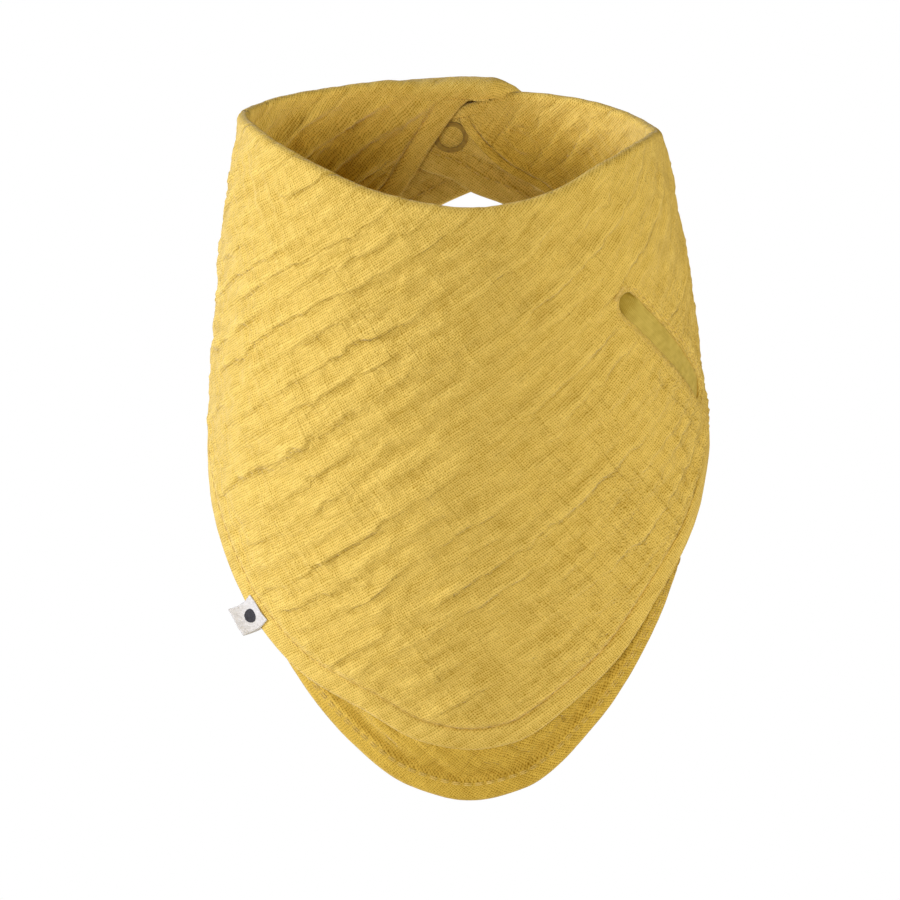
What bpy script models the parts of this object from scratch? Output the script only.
"""A bandana bib: one square of double gauze folded on its diagonal, worn round the neck and closed
at the back by a ring snap with two size positions.

+Z is up and -Y is the wearer's front. The origin is on the neck's axis, level with the fold at the
sides. Lengths are in millimetres until place() turns them into metres. Angles run round the neck in
degrees, 0 at the front, positive towards +X, and pass 180 where a tail laps over the other.
"""

import math

import bmesh
import bpy
import numpy as np
from mathutils import Matrix, Vector

MM = 0.001
GAP = 0.3  # between pieces that touch

# The neck ring at the fold, and how the cloth flares below it: each side's first slope and its easing.
NECK_LEFT, NECK_RIGHT = 60.5, 49.0
NECK_FRONT, NECK_BACK = 47.0, 47.0
FLARE_LEFT, FLARE_RIGHT = (0.17, 0.0008), (0.24, 0.0009)
FLARE_FRONT, FLARE_BACK = (0.12, 0.0004), (0.16, 0.0006)

# The cloth. The drops are from the neck's level to the lowest point of each hem.
CLOTH = 0.9
LAYER_SPACING = 2.4
INNER_DROP, OUTER_DROP = 170.5, 153.5
HEM_INSET = 6.0
THREAD = 0.4

# Where each cloth ends, and where the left tab hinges off the outer layer.
LEFT_END, RIGHT_END = -186.0, 183.0
TAB_HINGE, TAB_END = -156.6, -207.0
OUTER_END = 195.0
TAB_LIFT = 3.8
TAB_GAP = 1.2  # degrees of cloth left out at the hinge, so that the tab can turn

# Outlines as (angle, height), for the drops DRAWN_INNER and DRAWN_OUTER. The fold's outline is the
# neckline's, which dips at the front and rises over the shoulders.
DRAWN_INNER, DRAWN_OUTER = 170.5, 153.5
FOLD = ((-180, -2.2), (-147, -2.3), (-116, -0.5), (-92, 2.5), (-72, 4.5), (-58, 3.4), (-44, 1.1),
        (-21, -4), (0, -6.5), (20, -4.6), (46, 0.8), (62, 2.0), (78, 0.7), (92, -2.5), (112, -5.2),
        (135, -5.8), (165, -6.5), (175, -9), (185, -12), (195, -18))
INNER_HEM = ((-186, -3.8), (-178, -9.2), (-171, -19.5), (-162, -35.5), (-140, -57), (-115, -75),
             (-90, -90), (-72, -110.5), (-52, -133), (-30, -155.5), (-14, -167), (0, -170.5),
             (14, -167.5), (34, -151.5), (52, -132), (70, -110.5), (81, -96), (92, -87.5), (115, -72),
             (140, -53), (157, -35.5), (170, -29.5), (177, -23.5), (181, -18.5), (183, -14))
OUTER_HEM = ((-156.6, -52), (-140, -60), (-115, -77), (-90, -92.5), (-72, -109.5), (-52, -128.5),
             (-38, -138), (-24, -144), (-10, -151.7), (0, -153.5), (10, -151.9), (26, -141),
             (37, -132), (50, -118), (68, -102.5), (80, -92), (92, -87.5), (115, -74), (140, -58.5),
             (157, -48), (171, -40.5), (180, -37), (185, -33), (190, -31), (195, -28))
TAB_TOP = ((-207, -20), (-202, -13.5), (-196, -8.8), (-191.5, -5.2), (-186, -3.2), (-180, -3.2),
           (-168, -3.4), (-156.6, -2.4))
TAB_HEM = ((-207, -25), (-200, -30), (-190, -34), (-180, -38.5), (-171.5, -43.5), (-156.6, -52))

# The slot in the outer layer and what is sewn at it. Ends as (angle, height) of its centreline.
SLOT_TOP, SLOT_BOTTOM = (44.3, -34.4), (80.9, -71.6)
SLOT_WIDTH = 6.2
FACING_LAP = 4.0
FACING_THICK = 0.4
SLOT_STITCH_OUT = 1.3
TACK_LONG, TACK_WIDE = 4.0, 1.3

# The woven label, folded round the outer layer's hem.
LABEL_ANGLE = -55.0
LABEL_WIDE, LABEL_IN, LABEL_OUT = 8.2, 4.8, 3.6
LABEL_THICK = 0.3

# The ring snap, and its two positions on the right tail.
SNAP_WORN, SNAP_SPARE = (164.4, -18.0), (184.9, -20.0)
RING_R, RING_HOLE_R, RING_THICK = 4.6, 3.3, 0.5
FLANGE_R, FLANGE_THICK = 4.0, 0.5
STUD_R, STUD_TALL = 1.7, 1.0
SOCKET_R, SOCKET_PLAY = 4.2, 0.5
CURVE_GAP = 0.5  # on the hollow side of the cloth, where a flat ring needs more room

# The stretches of hem, in degrees, that carry a row of topstitches.
OUTER_ROW, INNER_ROW, TAB_ROW = (-150, 180), (-160, 160), (-196, -164)

# How finely the pieces are made.
COLUMN = 6.0  # degrees
ROWS = 12
TURN_STEPS = 28

YELLOW = (0.72, 0.49, 0.11, 1.0)
DEEP_YELLOW = (0.55, 0.36, 0.06, 1.0)
OFF_WHITE = (0.78, 0.75, 0.68, 1.0)


def through(points, x):
    """A smooth curve through points, read at x, which never swings past them."""
    xs, ys = np.array(points, float).T
    steps, slopes = np.diff(xs), np.diff(ys) / np.diff(xs)
    lean = np.zeros(len(xs))
    same = slopes[:-1] * slopes[1:] > 0
    lean[1:-1][same] = 2 * (slopes[:-1] * slopes[1:])[same] / (slopes[:-1] + slopes[1:])[same]
    lean[0], lean[-1] = slopes[0], slopes[-1]
    x = float(np.clip(x, xs[0], xs[-1]))
    i = min(int(np.searchsorted(xs, x, side="right")) - 1, len(steps) - 1)
    t, h = (x - xs[i]) / steps[i], steps[i]
    return float(
        ys[i] * (1 + 2 * t) * (1 - t) ** 2
        + ys[i + 1] * t * t * (3 - 2 * t)
        + h * lean[i] * t * (1 - t) ** 2
        + h * lean[i + 1] * t * t * (t - 1)
    )


def half_width(size, flare, z):
    """The ring's half width or half depth at height z."""
    depth = min(max(-z, 0.0), flare[0] / (2 * flare[1]) if flare[1] else math.inf)
    return size + flare[0] * depth - flare[1] * depth * depth


def place(angle, z, off=0.0):
    """The point on the cloth's surface at an angle and height, off millimetres outside it."""
    turn = math.radians(angle)
    s, c = math.sin(turn), math.cos(turn)
    across = half_width(*((NECK_RIGHT, FLARE_RIGHT) if s > 0 else (NECK_LEFT, FLARE_LEFT)), z)
    along = half_width(*((NECK_FRONT, FLARE_FRONT) if c > 0 else (NECK_BACK, FLARE_BACK)), z)
    return Vector((across * s + off * s, -(along + off) * c, z)) * MM


def axes_at(angle, z, off=0.0):
    """The surface's own frame: right along the ring, up the cloth and straight out of it."""
    step = 0.5
    right = (place(angle + step, z, off) - place(angle - step, z, off)).normalized()
    up = (place(angle, z + step, off) - place(angle, z - step, off)).normalized()
    out = right.cross(up).normalized()
    return right, out.cross(right), out


def walk(angle, z, right, up):
    """The (angle, height) that lies right and up millimetres away along the cloth."""
    per_degree = (place(angle + 0.5, z) - place(angle - 0.5, z)).length / MM
    return angle + right / per_degree, z + up


def inner_top(angle):
    return through(FOLD, min(angle, 180)) - GAP


def inner_hem(angle):
    return through(INNER_HEM, angle) * INNER_DROP / DRAWN_INNER


def inner_off(angle):
    """The inner layer lies inside the outer one, and further in where the left tail laps over."""
    lap = through(((-172, 1), (-158, 0.75), (-140, 0.2), (-125, 0)), angle)
    return -LAYER_SPACING - lap * (CLOTH + 2 * GAP + CURVE_GAP)


def outer_top(angle):
    return through(FOLD, angle)


def outer_hem(angle):
    return through(OUTER_HEM, angle) * OUTER_DROP / DRAWN_OUTER


def outer_off(angle):
    return 0.0


def tab_top(angle):
    return through(TAB_TOP, angle)


def tab_hem(angle):
    return through(TAB_HEM, angle)


def tab_off(angle):
    """The tab rises off the ring to clear the right tail and the snap."""
    return TAB_LIFT * through(((-207, 1), (-172, 1), (-167, 0.88), (-161, 0.3), (-156.6, 0)), angle)


def material(name, colour, roughness, metallic=0.0):
    finish = bpy.data.materials.new(name)
    finish.use_nodes = True
    shader = finish.node_tree.nodes["Principled BSDF"]
    shader.inputs["Base Color"].default_value = colour
    shader.inputs["Roughness"].default_value = roughness
    shader.inputs["Metallic"].default_value = metallic
    return finish


def new_object(name, bm, finish, smooth=True):
    mesh = bpy.data.meshes.new(name)
    bm.to_mesh(mesh)
    bm.free()
    if smooth:
        mesh.shade_smooth()
        mesh.set_sharp_from_angle(angle=math.radians(40))
    obj = bpy.data.objects.new(name, mesh)
    mesh.materials.append(finish)
    bpy.context.scene.collection.objects.link(obj)
    return obj


def thicken(obj, thick):
    """Gives a sheet its thickness, half on each side."""
    solid = obj.modifiers.new("thickness", "SOLIDIFY")
    solid.thickness = thick * MM
    solid.offset = 0.0
    return obj


def grid(columns, rows):
    """A flat grid whose corners are 0 and 1, for a formula to move."""
    bm = bmesh.new()
    bmesh.ops.create_grid(bm, x_segments=columns, y_segments=rows, size=0.5)
    bmesh.ops.translate(bm, verts=bm.verts, vec=(0.5, 0.5, 0))
    return bm


def layer(name, start, end, top, hem, off, finish):
    """One layer of cloth round the neck, from its top edge down to its hem."""
    bm = grid(round((end - start) / COLUMN), ROWS)
    for v in bm.verts:
        angle = start + (end - start) * v.co.x
        high, low = top(angle), hem(angle)
        v.co = place(angle, low + (high - low) * v.co.y, off(angle))
    return thicken(new_object(name, bm, finish), CLOTH)


def hem_row(name, start, end, hem, off, finish, face=1):
    """The topstitch thread of one hem, which lies on the cloth's face."""
    outline = []
    lift = face * (CLOTH / 2 + GAP + THREAD / 2)
    for angle in np.arange(start, end, 2.0):
        here, after = place(angle, hem(angle)), place(angle + 0.5, hem(angle + 0.5))
        right, up, out = axes_at(angle, hem(angle))
        along = (after - here).normalized()
        inward = out.cross(along)
        at = walk(angle, hem(angle), HEM_INSET * inward.dot(right), HEM_INSET * inward.dot(up))
        outline.append(place(*at, off(at[0]) + lift))
    return thread(name, outline, finish)


def thread(name, outline, finish, closed=False):
    curve = bpy.data.curves.new(name, "CURVE")
    curve.dimensions = "3D"
    curve.bevel_depth = THREAD / 2 * MM
    curve.bevel_resolution = 1
    curve.use_fill_caps = True
    spline = curve.splines.new("POLY")
    spline.points.add(len(outline) - 1)
    for point, at in zip(spline.points, outline):
        point.co = (*at, 1.0)
    spline.use_cyclic_u = closed
    curve.materials.append(finish)
    obj = bpy.data.objects.new(name, curve)
    bpy.context.scene.collection.objects.link(obj)
    return obj


def slot_frame():
    """The slot's middle, half the length of its straight sides, and its direction along the cloth."""
    middle = tuple((a + b) / 2 for a, b in zip(SLOT_TOP, SLOT_BOTTOM))
    run = place(*SLOT_TOP) - place(*SLOT_BOTTOM)
    right, up, _ = axes_at(*middle)
    return middle, (run.length / MM - SLOT_WIDTH) / 2, math.atan2(run.dot(up), run.dot(right))


def slot_outline(grow, steps=8):
    """Points round the slot, as (angle, height), grown by a margin: two straights and two half rounds."""
    middle, reach, lean = slot_frame()
    radius = SLOT_WIDTH / 2 + grow
    flat = []
    for end in (1, -1):
        flat += [(end * reach + radius * math.sin(math.pi * i / steps) * end,
                  -end * radius * math.cos(math.pi * i / steps)) for i in range(steps + 1)]
        flat += [(end * reach * (1 - 2 * i / steps), end * radius) for i in range(1, steps)]
    c, s = math.cos(lean), math.sin(lean)
    return [walk(*middle, a * c - b * s, a * s + b * c) for a, b in flat]


def slot_cutter():
    """The slot's prism, which passes through the outer layer only."""
    bm = bmesh.new()
    rim = [bm.verts.new(place(*at, LAYER_SPACING)) for at in slot_outline(0)]
    floor = [place(*at, -LAYER_SPACING / 2) for at in slot_outline(0)]
    lid = bmesh.ops.contextual_create(bm, geom=rim)["faces"]
    push = bmesh.ops.extrude_face_region(bm, geom=lid, use_keep_orig=True)
    moved = [v for v in push["geom"] if isinstance(v, bmesh.types.BMVert)]
    for v in moved:
        v.co = floor[min(range(len(rim)), key=lambda i: (rim[i].co - v.co).length)]
    bmesh.ops.triangulate(bm, faces=[f for f in bm.faces if len(f.verts) > 4])
    bmesh.ops.recalc_face_normals(bm, faces=bm.faces)
    cutter = new_object("slot_cutter", bm, bpy.data.materials["facing"], smooth=False)
    cutter.hide_render = True
    cutter.display_type = "WIRE"
    return cutter


def slot_strip(name, length, width, off, thick, finish, shift=0.0):
    """A flat strip that follows the cloth along the slot's line, shifted towards its top."""
    middle, _, lean = slot_frame()
    c, s = math.cos(lean), math.sin(lean)
    bm = grid(max(2, round(length / 4)), max(2, round(width / 4)))
    for v in bm.verts:
        a, b = (v.co.x - 0.5) * length + shift, (v.co.y - 0.5) * width
        v.co = place(*walk(*middle, a * c - b * s, a * s + b * c), off)
    return thicken(new_object(name, bm, finish), thick)


def label(finish):
    """The woven tag: a strip that runs up the cloth's face, round the hem and up its back."""
    angle = LABEL_ANGLE
    hem = outer_hem(angle)
    right, up, out = axes_at(angle, hem)
    along = (place(angle + 0.5, outer_hem(angle + 0.5)) - place(angle, hem)).normalized()
    inward = out.cross(along)
    lift = CLOTH / 2 + GAP + LABEL_THICK / 2
    bend = math.pi * lift
    total = 2 * (LABEL_IN + LABEL_OUT) + bend
    bm = grid(4, 18)
    for v in bm.verts:
        side, run = (v.co.x - 0.5) * LABEL_WIDE, v.co.y * total
        if run < LABEL_IN + LABEL_OUT:
            deep, off = LABEL_IN - run, lift
        elif run < LABEL_IN + LABEL_OUT + bend:
            turn = (run - LABEL_IN - LABEL_OUT) / lift
            deep, off = -LABEL_OUT - lift * math.sin(turn), lift * math.cos(turn)
        else:
            deep, off = run - bend - LABEL_IN - 2 * LABEL_OUT, -lift
        across = side * along.dot(right) + deep * inward.dot(right)
        height = side * along.dot(up) + deep * inward.dot(up)
        v.co = place(*walk(angle, hem, across, height), off)
    return thicken(new_object("label", bm, finish), LABEL_THICK)


def turned(name, profile, at, off, finish):
    """A snap piece: a closed profile of (radius, height) spun about the cloth's outward direction."""
    bm = bmesh.new()
    ring = [bm.verts.new((r * MM, 0, h * MM)) for r, h in profile]
    edges = [bm.edges.new((a, b)) for a, b in zip(ring, ring[1:])]
    if profile[0][0] > 0:
        edges.append(bm.edges.new((ring[-1], ring[0])))
    bmesh.ops.spin(bm, geom=ring + edges, cent=(0, 0, 0), axis=(0, 0, 1), angle=2 * math.pi,
                   steps=TURN_STEPS, use_merge=True)
    bmesh.ops.remove_doubles(bm, verts=bm.verts, dist=0.00001)
    bmesh.ops.dissolve_degenerate(bm, edges=bm.edges, dist=0.00001)
    bmesh.ops.recalc_face_normals(bm, faces=bm.faces)
    obj = new_object(name, bm, finish)
    right, up, out = axes_at(*at, off)
    frame = Matrix((right, up, out)).transposed().to_4x4()
    obj.matrix_world = Matrix.Translation(place(*at) + out * off * MM) @ frame
    return obj


def prong_ring(name, at, off, finish):
    """The open ring that shows: a flat ring with rounded edges. off is its lower face."""
    edge = RING_THICK * 0.3
    profile = [(RING_HOLE_R, 0), (RING_R, 0), (RING_R, RING_THICK - edge),
               (RING_R - edge, RING_THICK), (RING_HOLE_R + edge, RING_THICK),
               (RING_HOLE_R, RING_THICK - edge)]
    return turned(name, profile, at, off, finish)


def stud(name, at, finish):
    """A flange on the right tail's outer face with the knob that snaps into the socket."""
    edge = STUD_R * 0.15
    top = FLANGE_THICK + STUD_TALL
    profile = [(0, 0), (FLANGE_R, 0), (FLANGE_R, FLANGE_THICK), (STUD_R, FLANGE_THICK),
               (STUD_R, top - edge), (STUD_R - edge, top), (0, top)]
    return turned(name, profile, at, CLOTH / 2 + GAP, finish)


def socket(at, finish):
    """A cup on the tab's inner face. It opens towards the stud and clears its flange and its knob."""
    low = CLOTH / 2 + GAP + FLANGE_THICK + GAP
    high = TAB_LIFT - CLOTH / 2 - CURVE_GAP
    bore = STUD_R + SOCKET_PLAY
    floor = STUD_TALL  # a gap above the knob, as the cup's rim is a gap above the flange
    profile = [(0, high - low), (SOCKET_R, high - low), (SOCKET_R, 0), (bore, 0), (bore, floor),
               (0, floor)]
    return turned("socket", profile, at, low, finish)


def tab_angle(at):
    """The same place on the ring, counted the left tail's way round."""
    return at[0] - 360.0, at[1]


for old in list(bpy.data.objects):
    bpy.data.objects.remove(old)

muslin = material("muslin", YELLOW, 0.85)
facing = material("facing", DEEP_YELLOW, 0.75)
sewing = material("thread", DEEP_YELLOW, 0.7)
woven_label = material("label", OFF_WHITE, 0.8)
snap_metal = material("snap", YELLOW, 0.4)

outer = layer("outer_layer", TAB_HINGE, OUTER_END, outer_top, outer_hem, outer_off, muslin)
cut = outer.modifiers.new("slot", "BOOLEAN")
cut.operation = "DIFFERENCE"
cut.object = slot_cutter()
layer("inner_layer", LEFT_END, RIGHT_END, inner_top, inner_hem, inner_off, muslin)
layer("left_tab", TAB_END, TAB_HINGE - TAB_GAP, tab_top, tab_hem, tab_off, muslin)

hem_row("outer_hem_thread", *OUTER_ROW, outer_hem, outer_off, sewing)
hem_row("inner_hem_thread", *INNER_ROW, inner_hem, inner_off, sewing, face=-1)
hem_row("tab_hem_thread", *TAB_ROW, tab_hem, tab_off, sewing)

slot_long = (place(*SLOT_TOP) - place(*SLOT_BOTTOM)).length / MM
behind = -(CLOTH / 2 + GAP + FACING_THICK / 2)
slot_strip("slot_facing", slot_long + FACING_LAP, SLOT_WIDTH + FACING_LAP, behind, FACING_THICK, facing)
thread("slot_thread", [place(*at, CLOTH / 2 + GAP + THREAD / 2) for at in slot_outline(SLOT_STITCH_OUT)],
       sewing, closed=True)
above = CLOTH / 2 + GAP + THREAD / 2
tack_shift = slot_long / 2 + SLOT_STITCH_OUT + GAP + THREAD / 2 + TACK_WIDE / 2
slot_strip("slot_bar_tack", TACK_WIDE, TACK_LONG, above, THREAD, sewing, shift=tack_shift)
label(woven_label)

for name, at in (("worn", SNAP_WORN), ("spare", SNAP_SPARE)):
    prong_ring(f"{name}_prong_ring", at, -(CLOTH / 2 + CURVE_GAP + RING_THICK), snap_metal)
    stud(f"{name}_stud", at, snap_metal)
socket(tab_angle(SNAP_WORN), snap_metal)
prong_ring("tab_prong_ring", tab_angle(SNAP_WORN), TAB_LIFT + CLOTH / 2 + GAP, snap_metal)
